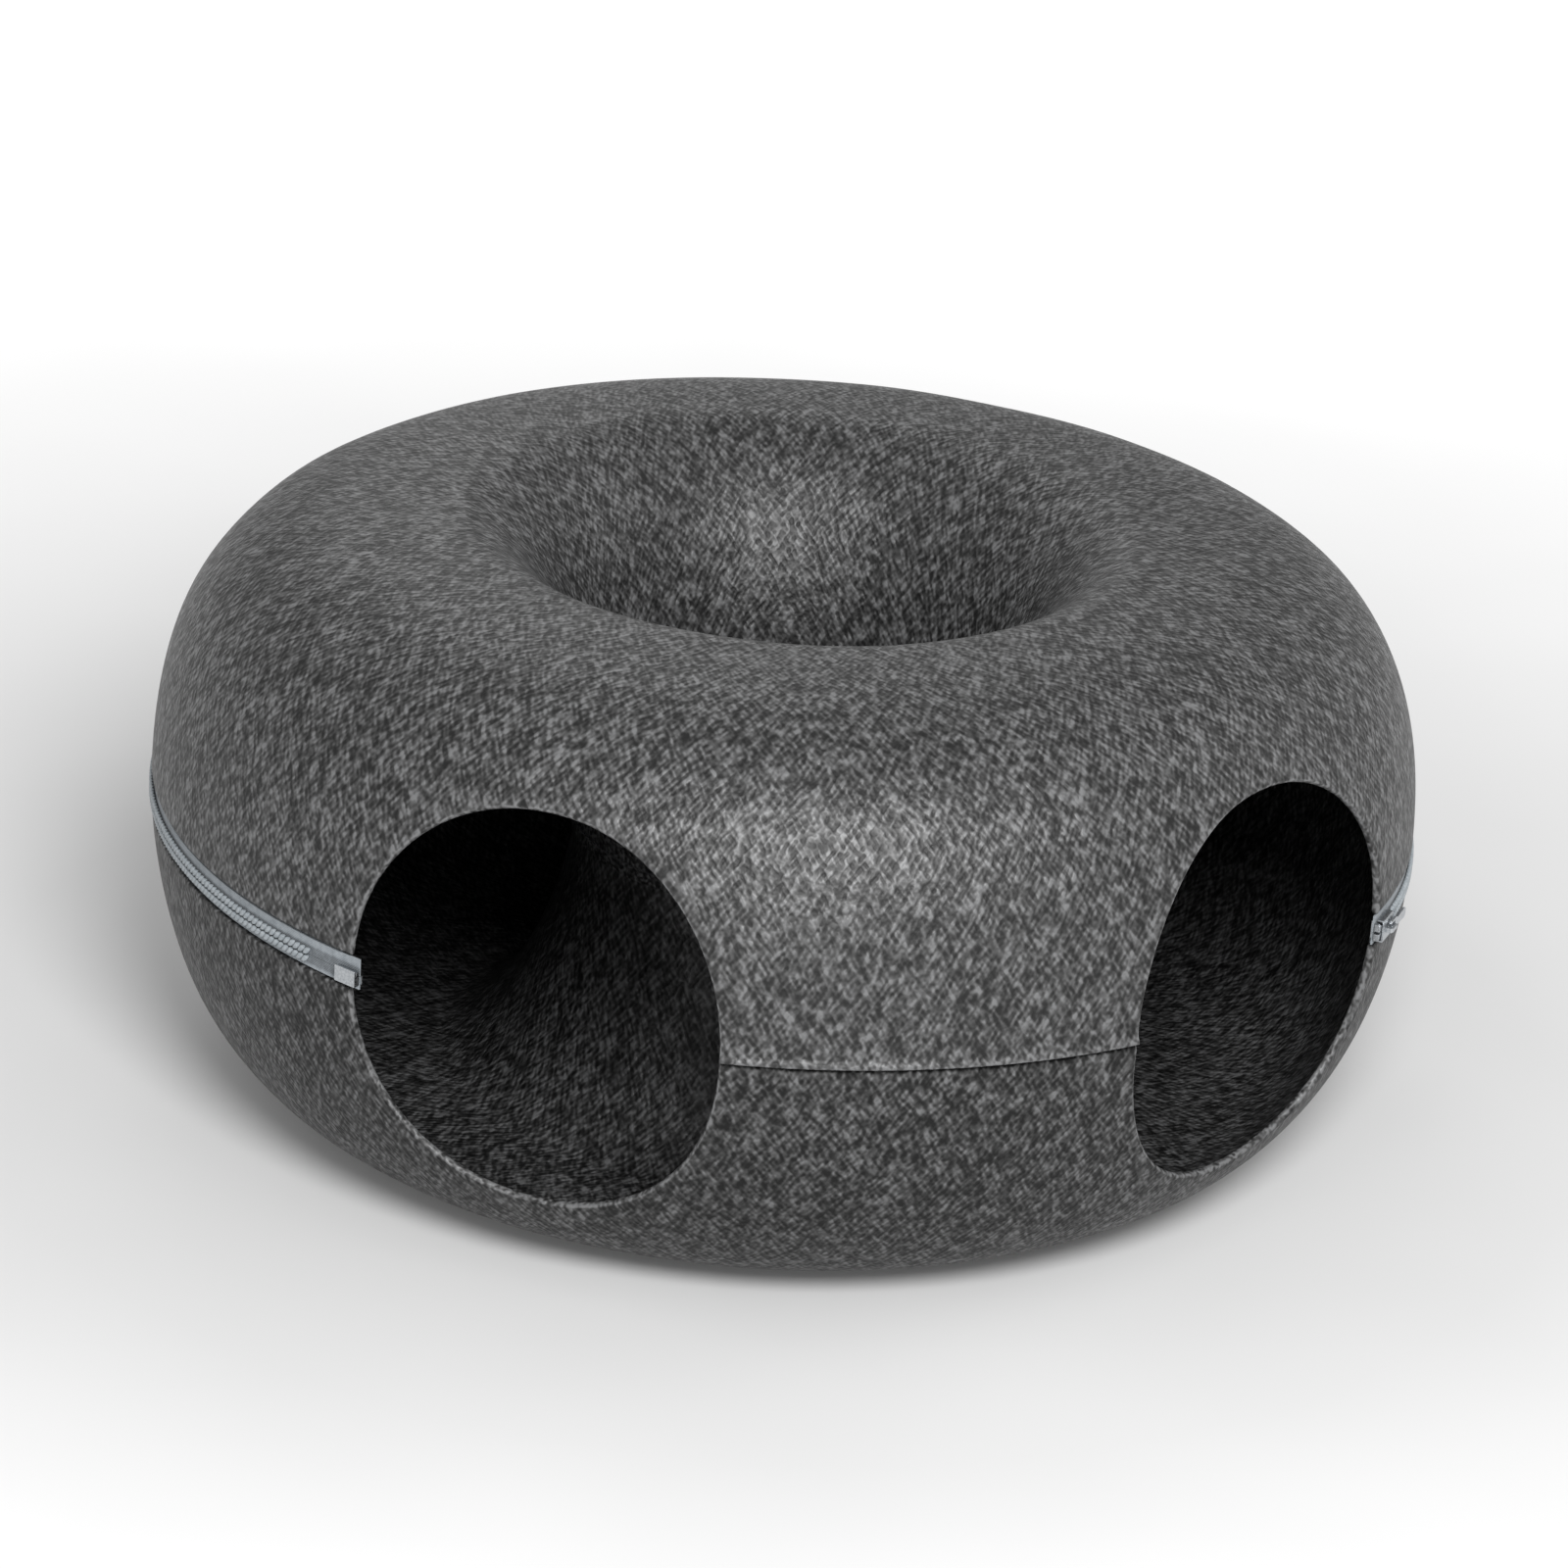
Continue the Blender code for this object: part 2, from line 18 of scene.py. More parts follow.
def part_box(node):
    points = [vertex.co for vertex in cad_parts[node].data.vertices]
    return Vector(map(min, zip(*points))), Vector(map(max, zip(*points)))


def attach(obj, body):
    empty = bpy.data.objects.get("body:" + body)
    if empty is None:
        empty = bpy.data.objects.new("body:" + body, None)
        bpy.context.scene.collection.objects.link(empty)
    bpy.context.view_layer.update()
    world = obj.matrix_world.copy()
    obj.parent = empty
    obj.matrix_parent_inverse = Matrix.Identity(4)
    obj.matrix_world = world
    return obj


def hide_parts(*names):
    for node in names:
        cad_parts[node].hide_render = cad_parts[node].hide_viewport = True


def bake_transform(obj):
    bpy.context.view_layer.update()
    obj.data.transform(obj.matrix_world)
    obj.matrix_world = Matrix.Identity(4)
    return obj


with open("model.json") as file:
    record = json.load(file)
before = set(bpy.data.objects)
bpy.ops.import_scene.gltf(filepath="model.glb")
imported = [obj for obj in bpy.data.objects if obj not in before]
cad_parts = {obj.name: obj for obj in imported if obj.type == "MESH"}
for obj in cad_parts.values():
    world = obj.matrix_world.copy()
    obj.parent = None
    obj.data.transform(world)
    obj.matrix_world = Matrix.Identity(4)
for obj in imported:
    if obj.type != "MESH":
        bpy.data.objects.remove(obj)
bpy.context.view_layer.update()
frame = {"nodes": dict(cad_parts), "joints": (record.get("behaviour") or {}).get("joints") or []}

# Felt ring
HINGE = next(joint for joint in frame["joints"] if joint["name"] == "lid_hinge")["pos_m"]
OUTER_RADIUS = -HINGE[1]
PARTING_HEIGHT = HINGE[2]
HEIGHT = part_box("upper_shell")[1].z
HOLE_RADIUS = 0.095
CREST_RADIUS = 0.163
FELT_THICKNESS = 0.0035
OUTER_ROUNDNESS = {1: (3.25, 2.37), -1: (3.90, 1.74)}
INNER_ROUNDNESS = {1: (1.69, 2.37), -1: (1.69, 1.74)}

# Entrances
ENTRANCE_AZIMUTH = math.radians(35)
ENTRANCE_HALF_WIDTH = 0.089
ENTRANCE_HALF_HEIGHT = 0.0946
ENTRANCE_ROUNDNESS = 2.1
ENTRANCE_EDGE = ENTRANCE_AZIMUTH + math.asin(ENTRANCE_HALF_WIDTH / OUTER_RADIUS)
ENTRANCE_NEAR_EDGE = 2 * ENTRANCE_AZIMUTH - ENTRANCE_EDGE

# Felt mesh
PROFILE_STEP = 0.0002
PROFILE_TURNS = 4001
CROSSING_HALVINGS = 24
COLUMNS = 360
EDGE_ROWS = 11
SKIN_ROWS = 74
EDGE_CHANGE = math.radians(14)
BUTT_GAP = 0.00005
EDGE_ROUNDING = 0.0012
EDGE_ANGLES = [math.radians(angle) for angle in (60, 30, 0, -30, -60)]
SEAM_EDGE_RISE = 0.014
ZIP_EDGE_ROOM = 0.004
SNAP_SHARE = 0.35
SHARP_ANGLE = math.radians(50)
EDGE_CORNER_LEAST = 0.6
FIBRE_LEAN = math.radians(32)
SMEAR_STEPS = (-0.002, -0.0012, -0.0004, 0.0004, 0.0012, 0.002)
UNEVENNESS = 0.0008
UNEVEN_LENGTH = 0.085
CALM_LENGTH = 0.030
SEAM_LIP = 0.0015
SEAM_GROOVE = 0.0018
SEAM_LIP_LENGTH = 0.0026
SEAM_RIDGE = 0.0013
SEAM_RIDGE_LENGTH = 0.011
# Painted light along the front seam: a painted highlight on the upper half's lip and a painted shade in the
# groove below it
SEAM_PAINTED_LIGHT_LENGTH = 0.0019
SEAM_PAINTED_LIGHT = {1: 1.4, -1: -2.0}
# A painted shade that darkens the whole lower half's skin
HALF_PAINTED_SHADE = {1: 0.0, -1: -0.3}
SEAM_LAP = 0.00055

# Zippers, in the zipper's section
ZIP_EDGE = {("outer", 1): 0.0092, ("outer", -1): 0.0072, ("inner", 1): 0.0078, ("inner", -1): 0.0078}
SEW_ALLOWANCE = 0.008
SEWN_DEPTH = -0.0042
COIL_NEAR = 0.0006
COIL_FAR = 0.0037
COIL_BACK = -0.0009
COIL_PROUD = 0.0011
TAPE_FRONT = -0.0012
TAPE_THICKNESS = 0.0007
TAPE_NEAR = 0.00015
TAPE_STEP = 0.0009
TAPE_BEND_ROOM = 0.0003
TAPE_END_TURN = 0.0015
# Width of the painted shade on the tape beside the teeth's outer ends
TAPE_PAINTED_SHADE_WIDTH = 0.0013
FACING_DEPTH = -0.0060
FACING_THICKNESS = 0.0012
FACING_NEAR = 0.0003
FACING_FAR = 0.019
FACING_OVERLAP = 0.006
TAPE_COLUMN = math.radians(1.5)
INNER_BUTT_HALF_LENGTH = 0.0205
INNER_BUTT_ANGLE = INNER_BUTT_HALF_LENGTH / HOLE_RADIUS
BUTT_CORNER_LENGTH = 0.0015
BUTT_CORNER = BUTT_CORNER_LENGTH / HOLE_RADIUS
BUTT_CORNER_SHARES = (-0.2, 0, 0.25, 0.5, 0.75, 1, 1.2)
OUTER_START_OVERHANG = 0.001
OUTER_FINISH_OVERHANG = 0.005
OUTER_SEWN_INSET = 0.008
OUTER_STOPS_SETBACK = 0.0015
OUTER_CLOSED_SETBACK = 0.0161
OUTER_OPEN_SETBACK = 0.0216
INNER_STOPS_SETBACK = 0.0025
INNER_CLOSED_SETBACK = 0.0171
INNER_OPEN_SETBACK = 0.0266
TOOTH_PITCH = 0.00347
TOOTH_SLANT = 0.65
TOOTH_HALF_WIDTH = 0.00166
TOOTH_SIDES = 8
TOOTH_SECTIONS = (0.06, 0.22, 0.5, 0.78, 0.94)
TOOTH_BLUNTNESS = 4.5
TOOTH_SHIFT = 0.25

# Stitches
STITCH_PITCH = 0.004
STITCH_SHARE = 0.82
STITCH_PATH = ((0, 0.1), (0.12, -0.5), (0.35, -0.95), (0.65, -0.95), (0.88, -0.5), (1, 0.1))
STITCH_SIDES = 6
THREAD_RADIUS = 0.0004
THREAD_SETBACK = 0.0044
THREAD_END_INSET = 0.008
SEAM_THREAD_DEPTH = -0.0049
SEAM_STITCH_HALF_HEIGHT = 0.003
SEAM_STITCH_PITCH = 0.006
SEAM_END_INSET = 0.004
SEAM_LEG_SHARES = (0.04, 0.12, 0.35, 0.65, 0.88, 0.96)
SEAM_THREAD_SIDES = 8
TUBE_UPRIGHT = 0.1
TUBE_END_SHARE = 1 / 3

# Finishes: scales are in cells to a metre, bumps are depths, and shades are (place, colour) on a ramp.
# Tones, roughnesses, shines and glows of four values map the first two to the last two.
LAY_SHIFTS = {"lay_left": (0.0, 0.0, 0.0), "lay_right": (0.37, 0.11, 0.23)}
FIBRE_SCALE = 520.0
FIBRE_TONE = (0.39, 0.61, 0.0, 0.40)
FELT_GRAIN_SCALE = 420.0
FELT_GRAIN_TONE = (0.3, 0.7, 0.0, 0.2)
FELT_CLOUD_SCALE = 130.0
FELT_CLOUD_TONE = (0.3, 0.7, -0.08, 0.08)
# How far pale cut edges and the painted highlight and painted shade move the felt's tone
FELT_PALENESS_AND_PAINTED_LIGHT_TONE = 0.22
FELT_SHADES = (
    (0.1, (0.0022, 0.0022, 0.0022)),
    (0.3, (0.0105, 0.0105, 0.0105)),
    (0.5, (0.0300, 0.0300, 0.0300)),
    (0.7, (0.0670, 0.0670, 0.0680)),
    (0.9, (0.1200, 0.1212, 0.1235)),
)
FELT_ROUGHNESS = (0.2, 0.8, 0.53, 0.46)
FELT_SHINE = (0.2, 0.8, 0.38, 0.56)
# How painted shade dulls the felt's shine
FELT_PAINTED_SHADE_DULLING = (-1.0, 0.0, 0.1, 1.0)
FELT_BUMP = 0.0005
RIB_SCALE = 520.0
RIB_DISTORTION = 0.6
RIB_TONE = 0.45
TAPE_SHADE_SCALE = 260.0
# How dark the tape's painted shade beside the chain is
TAPE_PAINTED_SHADE_TONE = -0.5
TAPE_SHADES = (
    (0.0, (0.085, 0.094, 0.103)),
    (0.35, (0.163, 0.182, 0.199)),
    (0.75, (0.247, 0.270, 0.290)),
)
TAPE_BUMP = 0.00012
NYLON_SHADE_SCALE = 420.0
NYLON_GRAIN_SCALE = 1800.0
NYLON_SHADES = ((0.35, (0.220, 0.247, 0.266)), (0.65, (0.302, 0.329, 0.348)))
NYLON_ROUGHNESS = (0.3, 0.7, 0.38, 0.52)
NYLON_BUMP = 0.00006
THREAD_TWIST_WAY = (0.58, 0.58, 0.58)
THREAD_TWIST_SCALES = (700.0, 3200.0)
THREAD_SHADES = ((0.35, (0.028, 0.029, 0.031)), (0.65, (0.075, 0.077, 0.082)))
THREAD_BUMP = 0.00015
METAL_CAST_SCALE = 900.0
METAL_BRUSH_WAY = (0.2, 0.1, 0.97)
METAL_BRUSH_SCALES = (300.0, 4200.0)
METAL_SHADES = ((0.3, (0.36, 0.38, 0.40)), (0.7, (0.52, 0.54, 0.56)))
METAL_ROUGHNESS = (0.3, 0.7, 0.22, 0.42)
METAL_BUMP = 0.00004
WELD_DISTANCE = 0.00001
BEVEL_WIDTH = 0.00018
BEVEL_SEGMENTS = 2
BEVEL_ANGLE = math.radians(30)

# Floor and lights: each light has an azimuth and an elevation in degrees, and its power in watts
FLOOR_RADIUS = 6.0
FLOOR_SIDES = 96
FLOOR_SHADE_SCALE = 3.0
FLOOR_SHADES = ((0.3, (0.56, 0.56, 0.56)), (0.7, (0.60, 0.60, 0.60)))
FLOOR_GLOW = (0.4, 1.6, 0.06, 0.7)
LIGHTS = {"key_light": (-5, 37, 51), "side_light": (90, 30, 4), "back_light": (180, 35, 3)}
LIGHT_DISTANCE = 2.2
LIGHT_SIZE = 0.8
SKY_STRENGTH = 0.6

# Camera, from a fit to the photograph's outline
CAMERA_AZIMUTH = math.radians(-14.3)
CAMERA_ELEVATION = math.radians(22.949)
CAMERA_DISTANCE = 2.4909
CAMERA_TARGET = Vector((0, 0, 0.14045))
CAMERA_ROLL = math.radians(3.772)
IMAGE_SIDE = 1600
FOCAL_PIXELS = 5223.77
IMAGE_SHIFT_PIXELS = (1.19, 8.29)
SENSOR_WIDTH = 36

# A zipper lies on a circle and faces out (1) or in (-1). The rest are azimuths: its tapes run from start to
# finish and are sewn between sewn_from and sewn_to, the lower teeth begin at stops, and the slider parks
# between start and closed_end, and past open_start.
Zip = namedtuple("Zip", "name radius facing start sewn_from stops closed_end open_start sewn_to finish")
OUTER_ZIP = Zip(
    name="outer",
    radius=OUTER_RADIUS,
    facing=1,
    start=ENTRANCE_EDGE - OUTER_START_OVERHANG / OUTER_RADIUS,
    sewn_from=ENTRANCE_EDGE + OUTER_SEWN_INSET / OUTER_RADIUS,
    stops=ENTRANCE_EDGE + OUTER_STOPS_SETBACK / OUTER_RADIUS,
    closed_end=ENTRANCE_EDGE + OUTER_CLOSED_SETBACK / OUTER_RADIUS,
    open_start=math.tau - ENTRANCE_EDGE - OUTER_OPEN_SETBACK / OUTER_RADIUS,
    sewn_to=math.tau - ENTRANCE_EDGE - OUTER_SEWN_INSET / OUTER_RADIUS,
    finish=math.tau - ENTRANCE_EDGE + OUTER_FINISH_OVERHANG / OUTER_RADIUS,
)
INNER_ZIP = Zip(
    name="inner",
    radius=HOLE_RADIUS,
    facing=-1,
    start=INNER_BUTT_ANGLE,
    sewn_from=INNER_BUTT_ANGLE,
    stops=INNER_BUTT_ANGLE + INNER_STOPS_SETBACK / HOLE_RADIUS,
    closed_end=INNER_BUTT_ANGLE + INNER_CLOSED_SETBACK / HOLE_RADIUS,
    open_start=math.tau - INNER_BUTT_ANGLE - INNER_OPEN_SETBACK / HOLE_RADIUS,
    sewn_to=math.tau - INNER_BUTT_ANGLE,
    finish=math.tau - INNER_BUTT_ANGLE,
)
BODY = {1: "upper_half", -1: "lower_half"}
WORD = {1: "upper", -1: "lower"}


def smooth_step(start, stop, place):
    share = min(max((place - start) / (stop - start), 0.0), 1.0)
    return share * share * (3 - 2 * share)


def mixed(first, second, share):
    return first + (second - first) * share


def on_ring(radius, azimuth, rise):
    return Vector((radius * math.sin(azimuth), -radius * math.cos(azimuth), PARTING_HEIGHT + rise))


class Profile:
    """The felt's skin on one side of the parting plane."""

    def __init__(self, side):
        self.side = side
        reach = HEIGHT - PARTING_HEIGHT if side > 0 else -PARTING_HEIGHT
        turns = np.linspace(0, math.pi / 2, PROFILE_TURNS)
        halves = []
        for wall, roundness in ((OUTER_RADIUS, OUTER_ROUNDNESS), (HOLE_RADIUS, INNER_ROUNDNESS)):
            across, up = roundness[side]
            radius = CREST_RADIUS + (wall - CREST_RADIUS) * np.cos(turns) ** (2 / across)
            halves.append(np.stack((radius, reach * np.sin(turns) ** (2 / up)), axis=1))
        line = np.concatenate((halves[0], halves[1][-2::-1]))
        runs = np.concatenate(([0], np.cumsum(np.linalg.norm(np.diff(line, axis=0), axis=1))))
        self.length = runs[-1]
        self.runs = np.linspace(0, self.length, round(self.length / PROFILE_STEP))
        self.radius = np.interp(self.runs, runs, line[:, 0])
        self.rise = np.interp(self.runs, runs, line[:, 1])
        out = np.gradient(self.rise) * side, -np.gradient(self.radius) * side
        size = np.hypot(*out)
        self.out = out[0] / size, out[1] / size

    def place(self, azimuth, run):
        """The point of the skin there, and the way out."""
        radius, rise = np.interp(run, self.runs, self.radius), np.interp(run, self.runs, self.rise)
        out_radius, out_rise = (np.interp(run, self.runs, part) for part in self.out)
        sine, cosine = math.sin(azimuth), math.cos(azimuth)
        point = Vector((radius * sine, -radius * cosine, PARTING_HEIGHT + rise))
        return point, Vector((out_radius * sine, -out_radius * cosine, out_rise)).normalized()


PROFILES = {side: Profile(side) for side in (1, -1)}


def front_share(azimuth):
    """1 along the front seam and 0 along the zipper. It changes inside the entrances."""
    change = smooth_step(ENTRANCE_AZIMUTH - EDGE_CHANGE, ENTRANCE_AZIMUTH + EDGE_CHANGE, abs(azimuth))
    return 1 - change


def edge_runs(side, azimuth):
    """Where the skin starts on the outer wall, where its edge strip ends, and where it stops in the hole."""
    front = front_share(azimuth)
    first = EDGE_ROUNDING + mixed(ZIP_EDGE["outer", side], -SEAM_LAP, front)
    split = mixed(first + ZIP_EDGE_ROOM, SEAM_EDGE_RISE, front)
    butt = smooth_step(INNER_BUTT_ANGLE - BUTT_CORNER, INNER_BUTT_ANGLE, abs(azimuth))
    last = mixed(BUTT_GAP, ZIP_EDGE["inner", side], butt) + EDGE_ROUNDING
    return first, split, PROFILES[side].length - last


def row_runs(side, azimuth):
    first, split, last = edge_runs(side, azimuth)
    edge = [mixed(first, split, row / EDGE_ROWS) for row in range(EDGE_ROWS)]
    return edge + [mixed(split, last, row / SKIN_ROWS) for row in range(SKIN_ROWS + 1)]


def ring_columns():
    """Azimuths of the felt's columns, from the back once round, with more of them at the hole's butt."""
    corners = [INNER_BUTT_ANGLE - BUTT_CORNER * share for share in BUTT_CORNER_SHARES]
    marks = [side * corner for side in (-1, 1) for corner in corners]
    step = math.tau / COLUMNS
    spread = [-math.pi + step * column for column in range(COLUMNS)]
    clear = [azimuth for azimuth in spread if all(abs(azimuth - mark) > step / 3 for mark in marks)]
    return sorted(clear + marks)


def beyond_entrance(point):
    """Above 0 where there is felt, 0 on the edge of an entrance and below 0 inside it."""
    radius = math.hypot(point.x, point.y)
    turn = abs(math.atan2(point.x, -point.y)) - ENTRANCE_AZIMUTH
    if radius < (CREST_RADIUS + OUTER_RADIUS) / 2 or abs(turn) > math.pi / 2:
        return 1.0
    wide = abs(radius * math.sin(turn)) / (ENTRANCE_HALF_WIDTH + EDGE_ROUNDING)
    high = abs(point.z - PARTING_HEIGHT) / (ENTRANCE_HALF_HEIGHT + EDGE_ROUNDING)
    return wide**ENTRANCE_ROUNDNESS + high**ENTRANCE_ROUNDNESS - 1


def entrance_crossing(side, start, stop):
    """The share of the way from one (azimuth, run) to another where the entrance's edge lies."""
    low, high = 0.0, 1.0
    starts_outside = beyond_entrance(PROFILES[side].place(*start)[0]) > 0
    for _ in range(CROSSING_HALVINGS):
        middle = (low + high) / 2
        place = [mixed(first, second, middle) for first, second in zip(start, stop)]
        if (beyond_entrance(PROFILES[side].place(*place)[0]) > 0) == starts_outside:
            low = middle
        else:
            high = middle
    return (low + high) / 2


class Skin:
    """The trimmed grid of one half's skin: places is {key: (azimuth, run)}, and faces are lists of keys."""

    def __init__(self, side):
        self.side = side
        self.columns = ring_columns()
        self.places = {}
        for column, azimuth in enumerate(self.columns):
            for row, run in enumerate(row_runs(side, azimuth)):
                self.places[column, row] = (azimuth, run)
        self.rows = EDGE_ROWS + SKIN_ROWS + 1
        self.states = {key: beyond_entrance(self.point(key)) for key in self.places}
        self.snap()
        self.faces = {"seam_edge": [], "felt": []}
        for column in range(len(self.columns)):
            for row in range(self.rows - 1):
                self.add_face(column, row)

    def point(self, key):
        return PROFILES[self.side].place(*self.places[key])[0]

    def is_split(self, key):
        """True on the row that parts the felt from its strip beside the front seam."""
        return key[1] == EDGE_ROWS and abs(self.places[key][0]) < ENTRANCE_AZIMUTH

    def snap(self):
        """Moves the grid's points that lie close to an entrance's edge onto it."""
        moves = {}
        for (column, row), state in self.states.items():
            beside = [(column - 1, row), (column + 1, row)]
            if row not in (0, EDGE_ROWS):
                beside += [(column, row - 1), (column, row + 1)]
            for other in beside:
                if state * self.states.get(other, state) < 0:
                    here, there = self.places[column, row], self.places[other]
                    share = entrance_crossing(self.side, here, there)
                    if share < min(SNAP_SHARE, moves.get((column, row), (1,))[0]):
                        place = tuple(mixed(first, second, share) for first, second in zip(here, there))
                        moves[column, row] = (share, place)
        for key, (_, place) in moves.items():
            self.places[key], self.states[key] = place, 0.0

    def crossing(self, first, second):
        key = (min(first, second), max(first, second))
        if key not in self.places:
            start, stop = self.places[key[0]], self.places[key[1]]
            share = entrance_crossing(self.side, start, stop)
            self.places[key] = tuple(mixed(before, after, share) for before, after in zip(start, stop))
        return key

    def add_face(self, column, row):
        after = (column + 1) % len(self.columns)
        corners = [(column, row), (after, row), (after, row + 1), (column, row + 1)]
        if all(self.states[corner] <= 0 for corner in corners):
            return
        face = []
        for corner, following in zip(corners, corners[1:] + corners[:1]):
            if self.states[corner] >= 0:
                face.append(corner)
            if self.states[corner] * self.states[following] < 0:
                face.append(self.crossing(corner, following))
        if len(face) < 3:
            return
        by_seam = row < EDGE_ROWS and abs(self.columns[column]) < ENTRANCE_AZIMUTH
        self.faces["seam_edge" if by_seam else "felt"].append(face[:: self.side])


def swell(side, azimuth, run, point):
    """How far the felt stands out of its even shape there."""
    first, _, last = edge_runs(side, azimuth)
    calm = smooth_step(0, CALM_LENGTH, run - first) * smooth_step(0, CALM_LENGTH, last - run)
    calm *= smooth_step(0, CALM_LENGTH, point.z)
    uneven = UNEVENNESS * calm * noise.noise(point / UNEVEN_LENGTH)
    lip = SEAM_LIP if side > 0 else -SEAM_GROOVE
    seam = lip * math.exp(-((run / SEAM_LIP_LENGTH) ** 2)) + SEAM_RIDGE * math.exp(-run / SEAM_RIDGE_LENGTH)
    return uneven + seam * front_share(azimuth)


def skin_painted_light(side, azimuth, run):
    """How pale or dark the skin is there: a painted highlight on the seam's lip, and below 0 a painted shade
    in its groove and on the lower half.
    """
    seam = math.exp(-((run / SEAM_PAINTED_LIGHT_LENGTH) ** 2)) * front_share(azimuth)
    return SEAM_PAINTED_LIGHT[side] * seam + HALF_PAINTED_SHADE[side]


def edge_paleness_and_painted_light(skin, key):
    """How pale the felt's edge is there. The entrances' cut edges are pale, and the seam's edges carry the
    painted highlight and painted shade of its skin.
    """
    if key[1] == 0:
        return SEAM_PAINTED_LIGHT[skin.side] * front_share(skin.places[key][0])
    return 0.0 if key[1] == skin.rows - 1 else 1.0


def outward(points, faces):
    """The faces of closed meshes that all wind one way, turned so that they face out."""
    volume = 0.0
    for face in faces:
        first = points[face[0]]
        for second, third in zip(face[1:], face[2:]):
            volume += first.dot(points[second].cross(points[third]))
    return faces if volume > 0 else [face[::-1] for face in faces]


def new_mesh(name, points, faces, attributes=None):
    """An object from points and faces, smooth but for its sharp corners, with values kept on its points."""
    mesh = bpy.data.meshes.new(name)
    mesh.from_pydata(points, [], outward(points, faces))
    for label, values in (attributes or {}).items():
        kind = "FLOAT_VECTOR" if np.ndim(values) == 2 else "FLOAT"
        held = mesh.attributes.new(label, kind, "POINT")
        held.data.foreach_set("vector" if np.ndim(values) == 2 else "value", np.ravel(values))
    mesh.shade_smooth()
    mesh.set_sharp_from_angle(angle=SHARP_ANGLE)
    item = bpy.data.objects.new(name, mesh)
    bpy.context.collection.objects.link(item)
    return item


def felt_piece(name, skin, part):
    """The skin's faces of that part as felt of real thickness, with rounded cut edges."""
    faces = skin.faces[part]
    keys = sorted({key for face in faces for key in face}, key=str)
    index = {key: place for place, key in enumerate(keys)}
    tops, outs = [], []
    for key in keys:
        azimuth, run = skin.places[key]
        point, out = PROFILES[skin.side].place(azimuth, run)
        tops.append(point + out * swell(skin.side, azimuth, run, point))
        outs.append(out)
    edges = {}
    for face in faces:
        for first, second in zip(face, face[1:] + face[:1]):
            edges[first, second] = True
    border = [edge for edge in edges if edge[::-1] not in edges]
    aways = {}
    for first, second in border:
        if skin.is_split(first) and skin.is_split(second):
            continue
        along = tops[index[second]] - tops[index[first]]
        for key in (first, second):
            aways.setdefault(key, []).append(along.cross(outs[index[key]]).normalized())
    points = tops + [top - out * FELT_THICKNESS for top, out in zip(tops, outs)]
    lining = len(tops)
    # Pale cut edges, and the painted highlight and painted shade along the seam and on the lower half, kept
    # on the points
    wear = [skin_painted_light(skin.side, *skin.places[key]) for key in keys] + [0.0] * lining
    rims = {}
    for key in sorted({key for edge in border for key in edge}, key=str):
        away = Vector()
        if key in aways:
            away = sum(aways[key], Vector()).normalized()
            away *= EDGE_ROUNDING / max(away.dot(aways[key][0]), EDGE_CORNER_LEAST)
        top, out = tops[index[key]], outs[index[key]]
        rim = [index[key]]
        for angle in EDGE_ANGLES:
            rim.append(len(points))
            sunk = FELT_THICKNESS / 2 * (1 - math.sin(angle))
            points.append(top - out * sunk + away * math.cos(angle))
            wear.append(edge_paleness_and_painted_light(skin, key))
        rims[key] = rim + [lining + index[key]]
    meshed = [[index[key] for key in face] for face in faces]
    meshed += [[lining + place for place in face[::-1]] for face in meshed]
    for first, second in border:
        for row in range(len(EDGE_ANGLES) + 1):
            near, far = rims[first], rims[second]
            meshed.append([far[row], near[row], near[row + 1], far[row + 1]])
    lays = {}
    for label, lean in (("lay_left", -FIBRE_LEAN), ("lay_right", FIBRE_LEAN)):
        ways = [fibre_way(skin.places[key][0], out, lean) for key, out in zip(keys, outs)] * 2
        for key, rim in rims.items():
            ways += [ways[index[key]]] * len(EDGE_ANGLES)
        lays[label] = ways
    return new_mesh(name, points, meshed, {**lays, "wear": wear})


def fibre_way(azimuth, out, lean):
    """The way of the fibres that lean from the meridian by that angle, where the skin faces out."""
    around = Vector((math.cos(azimuth), math.sin(azimuth), 0))
    return out.cross(around) * math.cos(lean) + around * math.sin(lean)


def zip_point(lane, azimuth, depth, rise):
    return on_ring(lane.radius + lane.facing * depth, azimuth, rise)


def evenly(start, stop, steps):
    return [start + (stop - start) * step / steps for step in range(steps)] + [stop]


def tape_section(lane, side, azimuth):
    """The (depth, rise) points round a tape's section: a strip, and its sewn band behind the felt."""
    sewn = 1 if lane.sewn_from <= azimuth <= lane.sewn_to else 0
    edge = ZIP_EDGE[lane.name, side]
    bend = edge - TAPE_STEP - TAPE_BEND_ROOM
    step = mixed(bend + TAPE_NEAR, bend + TAPE_STEP, sewn)
    band = mixed(bend + 2 * TAPE_NEAR, edge + SEW_ALLOWANCE, sewn)
    depth = mixed(TAPE_FRONT, SEWN_DEPTH, sewn)
    front = [(TAPE_FRONT, TAPE_NEAR), (TAPE_FRONT, bend), (depth, step), (depth, band)]
    tuck = TAPE_THICKNESS / 2 * sewn
    back = [(front[0], 0), (front[1], tuck), (front[2], tuck), (front[3], 0)]
    behind = [(place[0] - TAPE_THICKNESS, place[1] - inward) for place, inward in back]
    return [(place[0], side * place[1]) for place in front + behind[::-1]]


